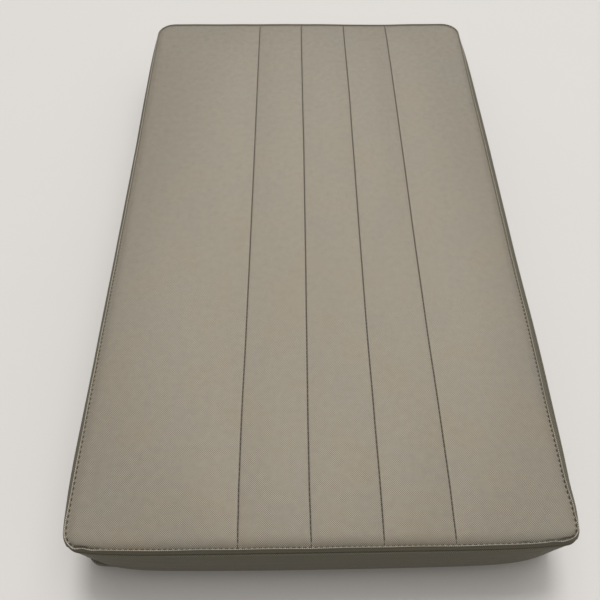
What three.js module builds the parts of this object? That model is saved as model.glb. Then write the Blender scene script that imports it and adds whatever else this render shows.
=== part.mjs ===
// Boxed boat seat cushion, lying on its back: a filled pad, a top panel with sewn
// channels and a rolled, topstitched edge, and a boxing band round the sides.
// Millimetres, +Z up. +X is to the right and +Y to the back of the seat.
// The origin is on the floor under the middle of the cushion.
import * as THREE from "three";

// Plan of the top panel, measured on the line of stitches round its edge.
const WIDTH = 422;
const LENGTH = 699;

// How far the sewn cushion is out of square.
const FRONT_DRAW_IN = 4; // front corners, behind the middle of the front edge
const FRONT_DRAW_POWER = 7.5; // the higher, the nearer to the corners it starts
const RIGHT_RUN_OUT = 2; // right edge, off its mean line at each end
const RIGHT_SHORTER = 5; // right side against the left
const BACK_SAG = { depth: 1.2, x: 95, spread: 55, power: 6 }; // dip in the back edge

// Heights.
const SEAM_HEIGHT = 76; // top of the rolled edge above the floor
const CROWN = 2.4; // rise of the middle of the panel
const STRIP_RISE = 0.8; // how far each strip puffs up beside its channels
const EDGE_RISE_LENGTH = 12; // distance in from the edge over which the panel rises

// Sewn channels: straight troughs from the front seam to the back seam.
const CHANNEL = { count: 4, fromLeft: 141, pitch: 60, depth: 1.5 };

// Stuff that the pieces are cut from, and the space kept between pieces.
const SHEET = 2;
const GAP = 0.3;

// How far the boxing swells out past the stitches at its widest and at its foot, and
// how square its shoulder is (1 is a straight chamfer, 2 a circle, more is squarer).
const SIDES = {
  left: { bulge: 6.5, foot: 4, squareness: 3.5 },
  right: { bulge: 10.5, foot: 5.5, squareness: 5 },
  front: { bulge: 11.5, foot: 7.5, squareness: 1.3 },
  back: { bulge: 7.5, foot: 4, squareness: 2 },
};
const CORNERS = {
  frontLeft: { radius: 11.5, bulge: 2.7, foot: 4.8, squareness: 2 },
  frontRight: { radius: 8.5, bulge: 7.6, foot: 4.6, squareness: 5 },
  backLeft: { radius: 21.5, bulge: 2.5, foot: 3, squareness: 2 },
  backRight: { radius: 21.5, bulge: 2.5, foot: 3, squareness: 2 },
};
const SWELL_POWER = 0.45; // under 1, the sides swell out soon after the corners

// Cross-section of the boxing: depth under the seam height of each of its rows.
const BAND_TOP = 3.4;
const BAND_WIDEST = 46;
const BAND_BOTTOM = 74;
const BAND_ROWS = [BAND_TOP, 6, 10, 17, 29, BAND_WIDEST, 59, 68, BAND_BOTTOM];
const BAND_TOP_OUT = 2.4; // where the band starts, under the rolled edge
const FOOT_POWER = 2.2; // the higher, the lower down the boxing turns in

// Cross-section of the panel's edge, from the inside outwards and back underneath.
// out is measured from the stitches, and below from the seam height.
const PANEL_EDGE = [
  { out: -3, below: 0.1 },
  { out: -1, below: 0.9 },
  { out: 0, below: 1.3 },
  { out: 0.7, below: 0.4 },
  { out: 1.5, below: 0 },
  { out: 2.4, below: 0.6 },
  { out: 2.7, below: 1.5 },
  { out: 2.3, below: 2.9 },
  { out: -1, below: 3.1 },
  { out: -3.5, below: 2.8 },
];
const PANEL_EDGE_TURN = 7; // first row on the underside

// Top of the pad, under the panel's edge.
const PAD_SHOULDER = [
  { out: -3.5, below: 3.2 },
  { out: -1, below: 3.6 },
  { out: 0, below: 3.9 },
];

// Foot of the pad: a turned edge that the band stands on. inside is measured
// inwards from the band's outer face.
const PAD_FOOT = [
  { inside: 0.2, z: SEAM_HEIGHT - BAND_BOTTOM - GAP },
  { inside: 0.5, z: 0.8 },
  { inside: 2, z: 0 },
];

// Where the gridded middle of the panel ends and the rings of its edge begin.
const EDGE_INSET = 6;
// Grid columns near a corner, as distances from the side of the grid.
const CORNER_COLUMNS = [0, 0.5, 1.5, 3.2, 6, 11, 18];
// Grid columns across one channel, as distances from its middle.
const CHANNEL_COLUMNS = [-3.5, -1, 1, 3.5];
// Grid rows from the front to the back.
const ROW_SHARES = [0, 0.06, 0.25, 0.5, 0.75, 0.94, 1];

const HALF_WIDTH = WIDTH / 2;
const HALF_LENGTH = LENGTH / 2;
const CHANNEL_XS = Array.from(
  { length: CHANNEL.count },
  (_, i) => CHANNEL.fromLeft + i * CHANNEL.pitch - HALF_WIDTH,
);
// Moves the panel off the origin, so that the swollen outline is centred on it.
const CENTRE_X = (SIDES.left.bulge - SIDES.right.bulge) / 2;
const CENTRE_Y = (SIDES.front.bulge - SIDES.back.bulge) / 2;

// --- Surfaces ---------------------------------------------------------------

// Height of the panel's upper face at a point of its plan.
function panelHeight(x, y) {
  const across = Math.abs(x) / HALF_WIDTH;
  const along = Math.abs(y) / HALF_LENGTH;
  const dome = CROWN * (1 - across ** 4) * (1 - along ** 6);
  const toChannel = Math.min(...CHANNEL_XS.map((cx) => Math.abs(x - cx)));
  const puff = STRIP_RISE * (1 - Math.exp(-toChannel / EDGE_RISE_LENGTH));
  const toEdge = Math.min(HALF_WIDTH - Math.abs(x), HALF_LENGTH - Math.abs(y));
  const rise = 1 - Math.exp(-toEdge / EDGE_RISE_LENGTH);
  const trough = CHANNEL.depth * Math.exp(-((toChannel / 2) ** 2));
  return SEAM_HEIGHT + (dome + puff) * rise - trough;
}

// Takes a point of a square cushion to its place in the sewn one.
function settled([x, y, z]) {
  const across = x / HALF_WIDTH;
  const along = y / HALF_LENGTH;
  const front = Math.max(0, -along);
  const back = Math.max(0, along);
  const drawIn = FRONT_DRAW_IN * Math.abs(across) ** FRONT_DRAW_POWER * front;
  const runOut = RIGHT_RUN_OUT * Math.max(0, across) ** 3 * along;
  const shorter = (RIGHT_SHORTER / 4) * across * along;
  const nearSag = Math.exp(-(((x - BACK_SAG.x) / BACK_SAG.spread) ** 2));
  const sag = BACK_SAG.depth * nearSag * back ** BACK_SAG.power * (z / SEAM_HEIGHT);
  return [x + runOut + CENTRE_X, y + drawIn - shorter + CENTRE_Y, z - sag];
}

// Outward reach of the boxing's outer face at a depth under the seam height.
function bandReach({ bulge, foot, squareness }, depth) {
  if (depth <= BAND_WIDEST) {
    const left = 1 - (depth - BAND_TOP) / (BAND_WIDEST - BAND_TOP);
    const share = (1 - left ** squareness) ** (1 / squareness);
    return BAND_TOP_OUT + (bulge - BAND_TOP_OUT) * share;
  }
  const down = (depth - BAND_WIDEST) / (SEAM_HEIGHT - BAND_WIDEST);
  return bulge + (foot - bulge) * down ** FOOT_POWER;
}

// --- Plan: a grid with a rounded outline, and the loop round it ---------------

// Columns of the grid from left to right.
function gridColumns() {
  const half = HALF_WIDTH - EDGE_INSET;
  const xs = [];
  for (const d of CORNER_COLUMNS) xs.push(-half + d, half - d);
  for (const cx of CHANNEL_XS) {
    for (const d of CHANNEL_COLUMNS) xs.push(cx + d);
  }
  for (const cx of CHANNEL_XS.slice(1)) xs.push(cx - CHANNEL.pitch / 2);
  xs.push((CHANNEL_XS[0] - half) / 2, (CHANNEL_XS.at(-1) + half) / 2);
  return xs.sort((a, b) => a - b);
}

function cornerNear(x, y) {
  return CORNERS[(y < 0 ? "front" : "back") + (x < 0 ? "Left" : "Right")];
}

// Point of the grid's outline and its outward direction, where a column meets
// the front (end -1) or the back (end 1).
function columnEnd(x, end) {
  const radius = cornerNear(x, end).radius - EDGE_INSET;
  const centreX = HALF_WIDTH - EDGE_INSET - radius;
  const centreY = HALF_LENGTH - EDGE_INSET - radius;
  const past = Math.max(0, Math.abs(x) - centreX);
  const rise = Math.sqrt(Math.max(0, radius ** 2 - past ** 2));
  return {
    x,
    y: end * (centreY + rise),
    nx: (Math.sign(x) * past) / radius,
    ny: (end * rise) / radius,
  };
}

// Swell of the boxing at a point of the outline: that of its side in the middle,
// and that of the nearest corner towards the side's ends.
function swellAt({ x, y, nx }) {
  const frontOrBack = y < 0 ? "front" : "back";
  const leftOrRight = x < 0 ? "left" : "right";
  const onLongSide = Math.abs(nx) > 0.999;
  const side = SIDES[onLongSide ? leftOrRight : frontOrBack];
  const corner = cornerNear(x, y);
  const reach = (onLongSide ? HALF_LENGTH : HALF_WIDTH) - corner.radius;
  const t = Math.min(1, Math.abs(onLongSide ? y : x) / reach);
  const share = Math.cos((Math.PI / 2) * t) ** SWELL_POWER;
  const mixed = (key) => THREE.MathUtils.lerp(corner[key], side[key], share);
  return {
    bulge: mixed("bulge"),
    foot: mixed("foot"),
    squareness: mixed("squareness"),
  };
}

const COLUMNS = gridColumns();
const FRONT_ENDS = COLUMNS.map((x) => columnEnd(x, -1));
const BACK_ENDS = COLUMNS.map((x) => columnEnd(x, 1));
const LAST_COLUMN = COLUMNS.length - 1;
const LAST_ROW = ROW_SHARES.length - 1;

// Rows of grid points, front to back, at the height that a function gives.
function gridPoints(heightAt) {
  return ROW_SHARES.map((share) =>
    COLUMNS.map((x, c) => {
      const y = THREE.MathUtils.lerp(FRONT_ENDS[c].y, BACK_ENDS[c].y, share);
      return [x, y, heightAt(x, y)];
    }),
  );
}

// Counter-clockwise [row, column] places of the grid's outline.
function outlinePlaces() {
  const places = [];
  for (let c = 0; c <= LAST_COLUMN; c++) places.push([0, c]);
  for (let r = 1; r <= LAST_ROW; r++) places.push([r, LAST_COLUMN]);
  for (let c = LAST_COLUMN - 1; c >= 0; c--) places.push([LAST_ROW, c]);
  for (let r = LAST_ROW - 1; r > 0; r--) places.push([r, 0]);
  return places;
}

const OUTLINE = outlinePlaces();
// The stitched line round the panel: points, outward directions and swell.
const SEAM = OUTLINE.map(([row, column]) => {
  const front = FRONT_ENDS[column];
  const back = BACK_ENDS[column];
  const end = row < LAST_ROW ? front : back;
  const onSide = row > 0 && row < LAST_ROW;
  const y = THREE.MathUtils.lerp(front.y, back.y, ROW_SHARES[row]);
  const nx = onSide ? Math.sign(end.x) : end.nx;
  const ny = onSide ? 0 : end.ny;
  const point = { x: end.x + nx * EDGE_INSET, y: y + ny * EDGE_INSET, nx, ny };
  return { ...point, ...swellAt(point) };
});

// A ring of points round the cushion. reachOf gives how far out of the stitched
// line each one is.
function ring(reachOf, z) {
  return SEAM.map((p) => {
    const out = reachOf(p);
    return [p.x + p.nx * out, p.y + p.ny * out, z];
  });
}

// --- Meshes -------------------------------------------------------------------

function geometryOf(points, triangles) {
  const flat = points.flatMap(settled);
  const geometry = new THREE.BufferGeometry();
  geometry.setAttribute("position", new THREE.Float32BufferAttribute(flat, 3));
  geometry.setIndex(triangles.flat());
  geometry.computeVertexNormals();
  return geometry;
}

// Two triangles for each step round a pair of loops that face outwards. turned
// swaps the diagonal, so that two faces that lie together are split alike.
function wall(upper, lower, turned = false) {
  return upper.flatMap((a, k) => {
    const next = (k + 1) % upper.length;
    const [b, c, d] = [lower[k], lower[next], upper[next]];
    return turned ? [[a, b, c], [a, c, d]] : [[a, b, d], [d, b, c]];
  });
}

// Triangles of a grid whose first point has the given number. Facing up or down,
// each square is split along the same diagonal.
function sheetTriangles(first, facingUp) {
  const at = (r, c) => first + r * COLUMNS.length + c;
  const triangles = [];
  for (let r = 0; r < LAST_ROW; r++) {
    for (let c = 0; c < LAST_COLUMN; c++) {
      const [a, b] = [at(r, c), at(r, c + 1)];
      const [d, e] = [at(r + 1, c + 1), at(r + 1, c)];
      if (facingUp) triangles.push([a, b, d], [a, d, e]);
      else triangles.push([a, d, b], [a, e, d]);
    }
  }
  return triangles;
}

// A body closed by an upper grid, rings down its edge and a lower grid. Its
// underside starts at the ring numbered turn.
function closedPad(upperHeight, rings, lowerHeight, turn = rings.length) {
  const points = gridPoints(upperHeight).flat();
  const rim = (first) => OUTLINE.map(([r, c]) => first + r * COLUMNS.length + c);
  const triangles = sheetTriangles(0, true);
  let loop = rim(0);
  rings.forEach((row, r) => {
    const next = row.map((_, k) => points.length + k);
    points.push(...row);
    triangles.push(...wall(loop, next, r >= turn));
    loop = next;
  });
  const first = points.length;
  points.push(...gridPoints(lowerHeight).flat());
  triangles.push(...wall(loop, rim(first), true));
  triangles.push(...sheetTriangles(first, false));
  return geometryOf(points, triangles);
}

// A body whose section runs round the cushion and closes on itself.
function closedBand(rings) {
  const count = SEAM.length;
  const loopOf = (r) => SEAM.map((_, k) => (r % rings.length) * count + k);
  const half = rings.length / 2;
  const triangles = rings.flatMap((_, r) => wall(loopOf(r), loopOf(r + 1), r >= half));
  return geometryOf(rings.flat(), triangles);
}

// --- Pieces -------------------------------------------------------------------

function edgeRings(rows) {
  return rows.map(({ out, below }) => ring(() => out, SEAM_HEIGHT - below));
}

function bandRings(inside, rows = BAND_ROWS) {
  return rows.map((depth) =>
    ring((p) => bandReach(p, depth) - inside, SEAM_HEIGHT - depth),
  );
}

// Vinyl top panel: channels, stitched groove and rolled edge.
function topPanel() {
  const underside = (x, y) => panelHeight(x, y) - SHEET;
  return closedPad(panelHeight, edgeRings(PANEL_EDGE), underside, PANEL_EDGE_TURN);
}

// Vinyl boxing band: outer face downwards, then the inner face back up.
function boxingBand() {
  return closedBand([...bandRings(0), ...bandRings(SHEET).reverse()]);
}

// Filled pad under the panel and inside the band. Its flat foot is the underside.
function filledPad() {
  const upper = (x, y) => panelHeight(x, y) - SHEET - GAP;
  const foot = PAD_FOOT.map(({ inside, z }) =>
    ring((p) => bandReach(p, BAND_BOTTOM) - inside, z),
  );
  const sides = bandRings(SHEET + GAP, BAND_ROWS.slice(1));
  return closedPad(upper, [...edgeRings(PAD_SHOULDER), ...sides, ...foot], () => 0);
}

function piece(name, geometry, color, roughness) {
  const material = new THREE.MeshStandardMaterial({ color, roughness, metalness: 0 });
  const mesh = new THREE.Mesh(geometry, material);
  mesh.name = name;
  return mesh;
}

const cushion = new THREE.Group();
cushion.add(piece("cushion_pad", filledPad(), 0x6f695c, 0.8));
cushion.add(piece("top_panel", topPanel(), 0x9a9482, 0.6));
cushion.add(piece("boxing_band", boxingBand(), 0x8d8776, 0.65));

export default cushion;
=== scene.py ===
import math

import bpy
import numpy as np
from mathutils import Euler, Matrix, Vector


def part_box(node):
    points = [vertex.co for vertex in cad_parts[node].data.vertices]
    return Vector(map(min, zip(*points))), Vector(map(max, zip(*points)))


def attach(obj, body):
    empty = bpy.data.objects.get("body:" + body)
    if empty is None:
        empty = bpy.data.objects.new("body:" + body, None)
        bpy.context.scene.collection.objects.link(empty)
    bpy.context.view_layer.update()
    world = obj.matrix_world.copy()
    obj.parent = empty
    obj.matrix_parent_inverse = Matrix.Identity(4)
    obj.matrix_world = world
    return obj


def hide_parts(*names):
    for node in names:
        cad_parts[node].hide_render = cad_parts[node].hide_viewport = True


# Boxed boat seat cushion in marine vinyl, lying on its back on a pale floor.
# Sizes below are in millimetres, the same as the CAD model's, and MM turns them
# into Blender's metres. +X is to the right and +Y to the back of the seat.
MM = 0.001

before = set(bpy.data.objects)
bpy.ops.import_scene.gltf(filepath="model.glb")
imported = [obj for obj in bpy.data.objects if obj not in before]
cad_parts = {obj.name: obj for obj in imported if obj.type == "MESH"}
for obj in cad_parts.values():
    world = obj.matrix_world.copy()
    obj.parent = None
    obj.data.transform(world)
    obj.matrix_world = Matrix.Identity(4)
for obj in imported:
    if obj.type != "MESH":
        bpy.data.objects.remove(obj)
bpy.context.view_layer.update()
BAND_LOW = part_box("boxing_band")[0] / MM
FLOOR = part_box("cushion_pad")[0].z / MM

# Plan of the top panel, measured on the line of stitches round its edge. Corners are
# in the order front left, front right, back left, back right.
HALF_WIDTH = 422 / 2
HALF_LENGTH = 699 / 2
RADIUS = np.array([11.5, 8.5, 21.5, 21.5])  # of the corners
SEAM_HEIGHT = FLOOR + 76  # top of the rolled edge

# How far the sewn cushion is out of square, as in the CAD model.
FRONT_DRAW_IN = 4
FRONT_DRAW_POWER = 7.5
RIGHT_RUN_OUT = 2
RIGHT_SHORTER = 5
BACK_SAG = {"depth": 1.2, "x": 95, "spread": 55, "power": 6}
# Sideways drift of the sewn lines: rows at DRIFT_YS, columns at DRIFT_XS.
DRIFT_YS = [-349.5, -330, -300, -240, -150, -50, 100, 200, 300]
DRIFT_XS = [-211, -70, -10, 50, 110, 211]
DRIFT = np.array([
    (0.6, 1.2, 1.2, 0.9, 0.1, 1.6),
    (-0.3, 0.7, 0.8, 0.9, 0.2, 2.2),
    (-0.5, 0.1, 0.3, 0.9, 0.6, 0.6),
    (-0.5, -0.1, 0.1, 0.5, 0.4, 0.2),
    (-0.4, 0.6, 0.3, -0.1, -0.4, 0.9),
    (0.0, 0.9, 0.6, 0.1, -0.5, 0.3),
    (0.1, 1.0, 0.7, 0.7, 0.1, 0.4),
    (-0.9, 1.0, 0.2, 1.2, 0.3, 0.0),
    (-1.5, 1.0, 0.0, 0.5, 0.3, 0.4),
])

# Panel: crown, and the puff of its strips between the channels.
CROWN = 2.0
STRIP_RISE = 0.5
EDGE_RISE_LENGTH = 12
CHANNEL_XS = np.array([141, 201, 261, 321]) - HALF_WIDTH

# How far out of the stitches the boxing reaches at its shoulder just under the seam,
# at its widest and at its foot, and the depth that its shoulder takes to come out.
LEFT, RIGHT, FRONT, BACK = range(4)
SIDE_SWELL = np.array([
    (6.2, 7.0, 4, 4.5), (8.7, 10.3, 5.5, 4.5), (2.8, 11.3, 7.5, 3.2), (4.6, 7.5, 4, 4),
])
CORNER_SWELL = np.array([(2.9, 3, 3.4, 3), (3.6, 3.6, 3.4, 3), (3, 3, 3, 3), (3, 3, 3, 3)])
SWELL_POWER = np.array([5, 5, 12, 5])  # the higher, the nearer to the corners it starts
FRONT_DWINDLE = 0.28  # share of its swell that the front loses on the way to a corner
# Where the shoulder of a long side swells more: how much, y, spread.
LEFT_FULLER = [(2.4, -290, 60), (0.8, 290, 80)]
RIGHT_FULLER = [(2.6, -235, 110)]

LEFT_INSET, FRONT_INSET = 6.5, 11.5  # from the CAD band's sides in to the stitches
CENTRE_X = BAND_LOW.x + HALF_WIDTH + LEFT_INSET
CENTRE_Y = BAND_LOW.y + HALF_LENGTH + FRONT_INSET

# Stitching.
EDGE_PITCH = 4.55  # length of a stitch round the panel's edge
STEPS_PER_STITCH = 3  # points of a mesh along one stitch
GRID_INSET = 3.5  # how far inside the stitches the panel's grid ends and its rings begin
CHANNEL_STITCHES = 156  # along one channel
CHANNEL_PITCH = 2 * (HALF_LENGTH - GRID_INSET) / CHANNEL_STITCHES
GRID_STEPS = CHANNEL_STITCHES * STEPS_PER_STITCH


# --- Shape functions, on arrays of points ---


def bell(away, width):
    """1 in the middle of a rounded hump or dent, and almost 0 two widths away."""
    return np.exp(-((away / width) ** 2))


def corner_at(x, y):
    """Number of the corner that is nearest to each point."""
    return np.where(y < 0, 0, 2) + np.where(x < 0, 0, 1)


def from_channel(x):
    """How far to the side of the nearest channel each point is."""
    return np.min(np.abs(x[..., None] - CHANNEL_XS), axis=-1)


def smooth_share(values, places):
    """Span and eased share of the span that each value falls in."""
    places = np.array(places, dtype=float)
    values = np.clip(values, places[0], places[-1])
    span = np.clip(np.searchsorted(places, values, side="right") - 1, 0, len(places) - 2)
    share = (values - places[span]) / (places[span + 1] - places[span])
    return span, share * share * (3 - 2 * share)


def drift(x, y):
    """How far the sewn lines wander to the right of where they were marked."""
    i, u = smooth_share(x, DRIFT_XS)
    j, v = smooth_share(y, DRIFT_YS)
    near = DRIFT[j, i] * (1 - u) + DRIFT[j, i + 1] * u
    far = DRIFT[j + 1, i] * (1 - u) + DRIFT[j + 1, i + 1] * u
    return near * (1 - v) + far * v


def settled(x, y, z):
    """The place in the sewn cushion of points given on a square one, in mm."""
    across, along = x / HALF_WIDTH, y / HALF_LENGTH
    front, back = np.maximum(0, -along), np.maximum(0, along)
    draw_in = FRONT_DRAW_IN * np.abs(across) ** FRONT_DRAW_POWER * front
    run_out = RIGHT_RUN_OUT * np.maximum(0, across) ** 3 * along
    shorter = RIGHT_SHORTER / 4 * across * along
    near_sag = bell(x - BACK_SAG["x"], BACK_SAG["spread"])
    sag = BACK_SAG["depth"] * near_sag * back ** BACK_SAG["power"] * z / SEAM_HEIGHT
    x, y = x + run_out + drift(x, y) + CENTRE_X, y + draw_in - shorter + CENTRE_Y
    return np.stack([x, y, z - sag], -1)


def edge_distance(x, y):
    """How far inside the stitched line a point of the plan is."""
    radius = RADIUS[corner_at(x, y)]
    past_x = np.abs(x) - (HALF_WIDTH - radius)
    past_y = np.abs(y) - (HALF_LENGTH - radius)
    outside = np.hypot(np.maximum(past_x, 0), np.maximum(past_y, 0))
    return radius - outside - np.minimum(np.maximum(past_x, past_y), 0)


# Panel's surface beside the stitched groove and over the rolled edge: out from the
# stitches, depth under the seam height, how much deeper it is along the front, share
# of the pull of each stitch, and wear and painted light (over 0 where the rolled edge
# is rubbed pale and carries a painted highlight, under 0 for painted shade in the groove
# and down the roll's outer side).
PANEL_EDGE = np.array([
    (-10, 0, 0, 0, 0), (-8, 0.06, 0, 0, 0), (-6, 0.2, 0.02, 0, 0),
    (-4.5, 0.42, 0.04, 0, 0), (-3.5, 0.64, 0.08, 0.05, 0), (-2.6, 0.9, 0.16, 0.15, 0),
    (-1.9, 1.12, 0.28, 0.3, 0), (-1.3, 1.32, 0.46, 0.5, 0), (-0.85, 1.46, 0.62, 0.7, -0.2),
    (-0.5, 1.58, 0.72, 0.9, -0.4), (-0.22, 1.66, 0.76, 1, -0.6), (0, 1.68, 0.76, 1, -0.6),
    (0.2, 1.54, 0.66, 1, -0.5), (0.36, 1.2, 0.4, 0.8, -0.2), (0.52, 0.72, 0.2, 0.5, 0.6),
    (0.68, 0.28, 0.05, 0.3, 1.3), (0.82, 0.06, 0, 0.15, 1.5), (0.94, 0.0, 0, 0.1, 1.5),
    (1.06, 0.06, 0, 0.1, 1.4), (1.2, 0.26, 0, 0.1, 1), (1.33, 0.54, 0, 0.1, 0.4),
    (1.43, 0.88, 0, 0.1, -0.2), (1.48, 1.3, 0, 0, -0.5), (1.42, 1.8, 0, 0, -0.8),
])
PANEL_TURNED_UNDER = [(0.9, 2.5), (-1, 3.2)]
RINGS_FROM = -2.6  # row of PANEL_EDGE with the first ring outside the panel's grid
INNER_INSET = 4  # how far inside the stitches the grids of hidden faces and underside end
FRONT_EDGE = 12  # how far inside the front seam its deeper groove begins
FRONT_EDGE_ENDS = 8  # and how far from the sides it ends
FRONT_NARROWING = 0.2  # share of its width that the rolled edge loses along the front

# How much shallower a channel is between two stitches, and how far to the side.
CHANNEL_PULL, CHANNEL_PULL_WIDTH = 0.45, 0.6
EDGE_PULL = 1.8  # the same for the groove round the panel's edge
FRONT_PULL = 0.6  # and along the front
PULL_LEVEL = 0.3  # share of the pull at which PANEL_EDGE's depths hold
PUCKER_PAINTED_SHADE = 0.7  # how much painted shade a pucker gets for each mm of its depth
CHANNEL_PAINTED_SHADE, CHANNEL_PAINTED_SHADE_WIDTH = -0.5, 0.5  # painted shade in the channels

# A channel is a narrow crease, which fades out inside the edge, in a shallow valley.
CREASE_DEPTH, CREASE_WIDTH = 1.0, 0.42
VALLEY_DEPTH, VALLEY_WIDTH = 0.38, 3.0
CREASE_END, CREASE_FADE = 2.6, 1.2


# Extra fullness from the cloth simulation, in mm: of the panel at rows PUFF_YS and
# columns PUFF_XS, and of the boxing at depths PUFF_DEPTHS and every PUFF_STEP-th point
# of the seam. Zero until simulate_filling has run.
PUFF_STEP = 6
PUFF_YS = np.linspace(-HALF_LENGTH + GRID_INSET, HALF_LENGTH - GRID_INSET, 79)
PUFF_XS = np.concatenate([
    np.linspace(-HALF_WIDTH + GRID_INSET, CHANNEL_XS[0], 17)[:-1],
    np.linspace(CHANNEL_XS[0], CHANNEL_XS[-1], 22)[:-1],
    np.linspace(CHANNEL_XS[-1], HALF_WIDTH - GRID_INSET, 12),
])
PUFF_DEPTHS = np.array([5.6, 11, 18, 25, 32, 39, 46, 53, 60, 66, 71])
PUFF_LIMIT = {"panel": 1.6, "band": 1.8}
PUFF_FADE = 5  # run over which the boxing's dies away, to its second row and to its foot
PUFF_END = 72  # depth where it has gone at the foot
puffs = {
    "panel": np.zeros((len(PUFF_YS), len(PUFF_XS))),
    "band": np.zeros((len(PUFF_DEPTHS), 1)),
}


def cubic_share(values, places):
    """Four neighbouring places of each value and the weights of a smooth curve through them."""
    values = np.clip(values, places[0], places[-1])
    span = np.clip(np.searchsorted(places, values, side="right") - 1, 0, len(places) - 2)
    t = (values - places[span]) / (places[span + 1] - places[span])
    weights = [
        (-t + 2 * t**2 - t**3) / 2, (2 - 5 * t**2 + 3 * t**3) / 2,
        (t + 4 * t**2 - 3 * t**3) / 2, (t**3 - t**2) / 2,
    ]
    numbers = [np.clip(span + k, 0, len(places) - 1) for k in (-1, 0, 1, 2)]
    return list(zip(numbers, weights))


def panel_puff(x, y):
    """How much higher the simulated filling pushes the panel at each point."""
    total = np.zeros(np.shape(x))
    columns = cubic_share(x, PUFF_XS)
    for j, v in cubic_share(y, PUFF_YS):
        for i, u in columns:
            total = total + puffs["panel"][j, i] * u * v
    return total


def band_puff(depth):
    """How much further out the simulated filling pushes the boxing round the seam."""
    rows = sum(
        puffs["band"][j] * v for j, v in cubic_share(np.array(depth), PUFF_DEPTHS)
    )
    rows = np.append(rows, rows[0])
    steps = np.arange(len(SEAM["x"])) / PUFF_STEP
    whole = np.floor(steps).astype(int) % (len(rows) - 1)
    share = steps - np.floor(steps)
    share = share * share * (3 - 2 * share)
    from_top = max(0, depth - BAND_STITCH_DEPTH) / PUFF_FADE
    from_foot = max(0, PUFF_END - depth) / PUFF_FADE
    edge = min(1, from_top, from_foot)
    return (rows[whole] * (1 - share) + rows[whole + 1] * share) * edge


def channel_depth(x, y):
    """Depth of the sewn channels at a point: a crease in a shallow valley."""
    away = from_channel(x)
    crease = CREASE_DEPTH * bell(away, CREASE_WIDTH)
    valley = VALLEY_DEPTH * np.exp(-away / VALLEY_WIDTH)
    rows = y + HALF_LENGTH - GRID_INSET
    pull = CHANNEL_PULL * stitch_pull(rows, CHANNEL_PITCH)
    pull = pull * bell(away, CHANNEL_PULL_WIDTH)
    ends = np.clip((edge_distance(x, y) - CREASE_END) / CREASE_FADE, 0, 1)
    return (crease - pull) * ends + valley


def stitch_pull(along, pitch):
    """1 at the needle holes and 0 in the middle of a stitch."""
    return 0.5 + 0.5 * np.cos(2 * math.pi * along / pitch)


def panel_height(x, y):
    """Height of the panel's upper face, apart from the groove at its edge."""
    across, along = np.abs(x) / HALF_WIDTH, np.abs(y) / HALF_LENGTH
    dome = CROWN * (1 - across**4) * (1 - along**6)
    puff = STRIP_RISE * (1 - np.exp(-from_channel(x) / EDGE_RISE_LENGTH))
    inside = np.maximum(edge_distance(x, y), 0)
    rise = 1 - np.exp(-inside / EDGE_RISE_LENGTH)
    dome = dome + panel_puff(x, y)
    channels = channel_depth(x, y) * (1 - bell(inside, CREASE_FADE))
    return SEAM_HEIGHT + (dome + puff) * rise - channels - pucker_depth(x, y, inside)


# Puckers of the panel just inside the stitches at the front corners: x, half their
# length, how far inside, half their width, and depth.
PUCKERS = [
    (-197, 5.5, 0.3, 0.9, 1.8), (-184, 3, 0.4, 0.7, 0.5),
    (201, 5.5, 0.4, 0.9, 1.8), (187, 4, 0.5, 0.7, 0.6), (166, 4, 0.5, 0.7, 0.5),
]


def pucker_depth(x, y, inside):
    """Depth of the small dents that the corners' fullness leaves beside the front seam."""
    depth = np.zeros(np.shape(x))
    front = y < -HALF_LENGTH * 0.8  # the table's places are along the front seam only
    for place, length, distance, width, most in PUCKERS:
        near = bell(x - place, length) * bell(inside - distance, width)
        depth = depth + np.where(front, most * near, 0)
    return depth


# Kinks of the rolled edge near the front corners: x, y, reach, and how far out.
KINKS = [
    (-202, -347.5, 3.0, 0.9), (-195, -349.5, 3.2, -0.6), (-187, -349.5, 4, 0.4),
    (211, -338, 3.0, 0.9), (211, -331, 3.5, -0.5), (197, -349.5, 4, 0.6),
    (188, -349.5, 4, -0.3), (205, -348, 3.0, -0.4),
]


def kinks(loop):
    """How far the rolled edge strays out of line at each point of an outline."""
    out = np.zeros(len(loop["x"]))
    for x, y, reach, most in KINKS:
        away = np.hypot(loop["x"] - x, loop["y"] - y)
        out += most * bell(away, reach)
    # The hand that turned the edge wasn't quite even either.
    wander = 0.12 * np.sin(loop["s"] / 9.7 + 1) + 0.1 * np.sin(loop["s"] / 23.0)
    return out + wander


# --- Plan: outline loops and grids ---


def outline(count):
    """Points round the stitched line at even steps: x, y, nx, ny, distance round."""
    w, l = HALF_WIDTH, HALF_LENGTH
    fl, fr, bl, br = RADIUS.tolist()
    quarter = math.pi / 2
    # Lines: length, start point, direction. Arcs: length, centre, radius and start angle.
    runs = [
        ("line", 2 * w - fl - fr, (-w + fl, -l), (1, 0)),
        ("arc", quarter * fr, (w - fr, -l + fr), (fr, -quarter)),
        ("line", 2 * l - fr - br, (w, -l + fr), (0, 1)),
        ("arc", quarter * br, (w - br, l - br), (br, 0)),
        ("line", 2 * w - br - bl, (w - br, l), (-1, 0)),
        ("arc", quarter * bl, (-w + bl, l - bl), (bl, quarter)),
        ("line", 2 * l - bl - fl, (-w, l - bl), (0, -1)),
        ("arc", quarter * fl, (-w + fl, -l + fl), (fl, 2 * quarter)),
    ]
    total = sum(run[1] for run in runs)
    s = np.arange(count) * total / count
    x, y, nx, ny = (np.zeros(count) for _ in range(4))
    start = 0.0
    for kind, length, place, turn in runs:
        here = (s >= start) & (s < start + length)
        t = s[here] - start
        if kind == "line":
            x[here], y[here] = place[0] + turn[0] * t, place[1] + turn[1] * t
            nx[here], ny[here] = turn[1], -turn[0]
        else:
            angle = turn[1] + t / turn[0]
            nx[here], ny[here] = np.cos(angle), np.sin(angle)
            x[here] = place[0] + turn[0] * nx[here]
            y[here] = place[1] + turn[0] * ny[here]
        start += length
    return {"x": x, "y": y, "nx": nx, "ny": ny, "s": s, "total": total}


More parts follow.
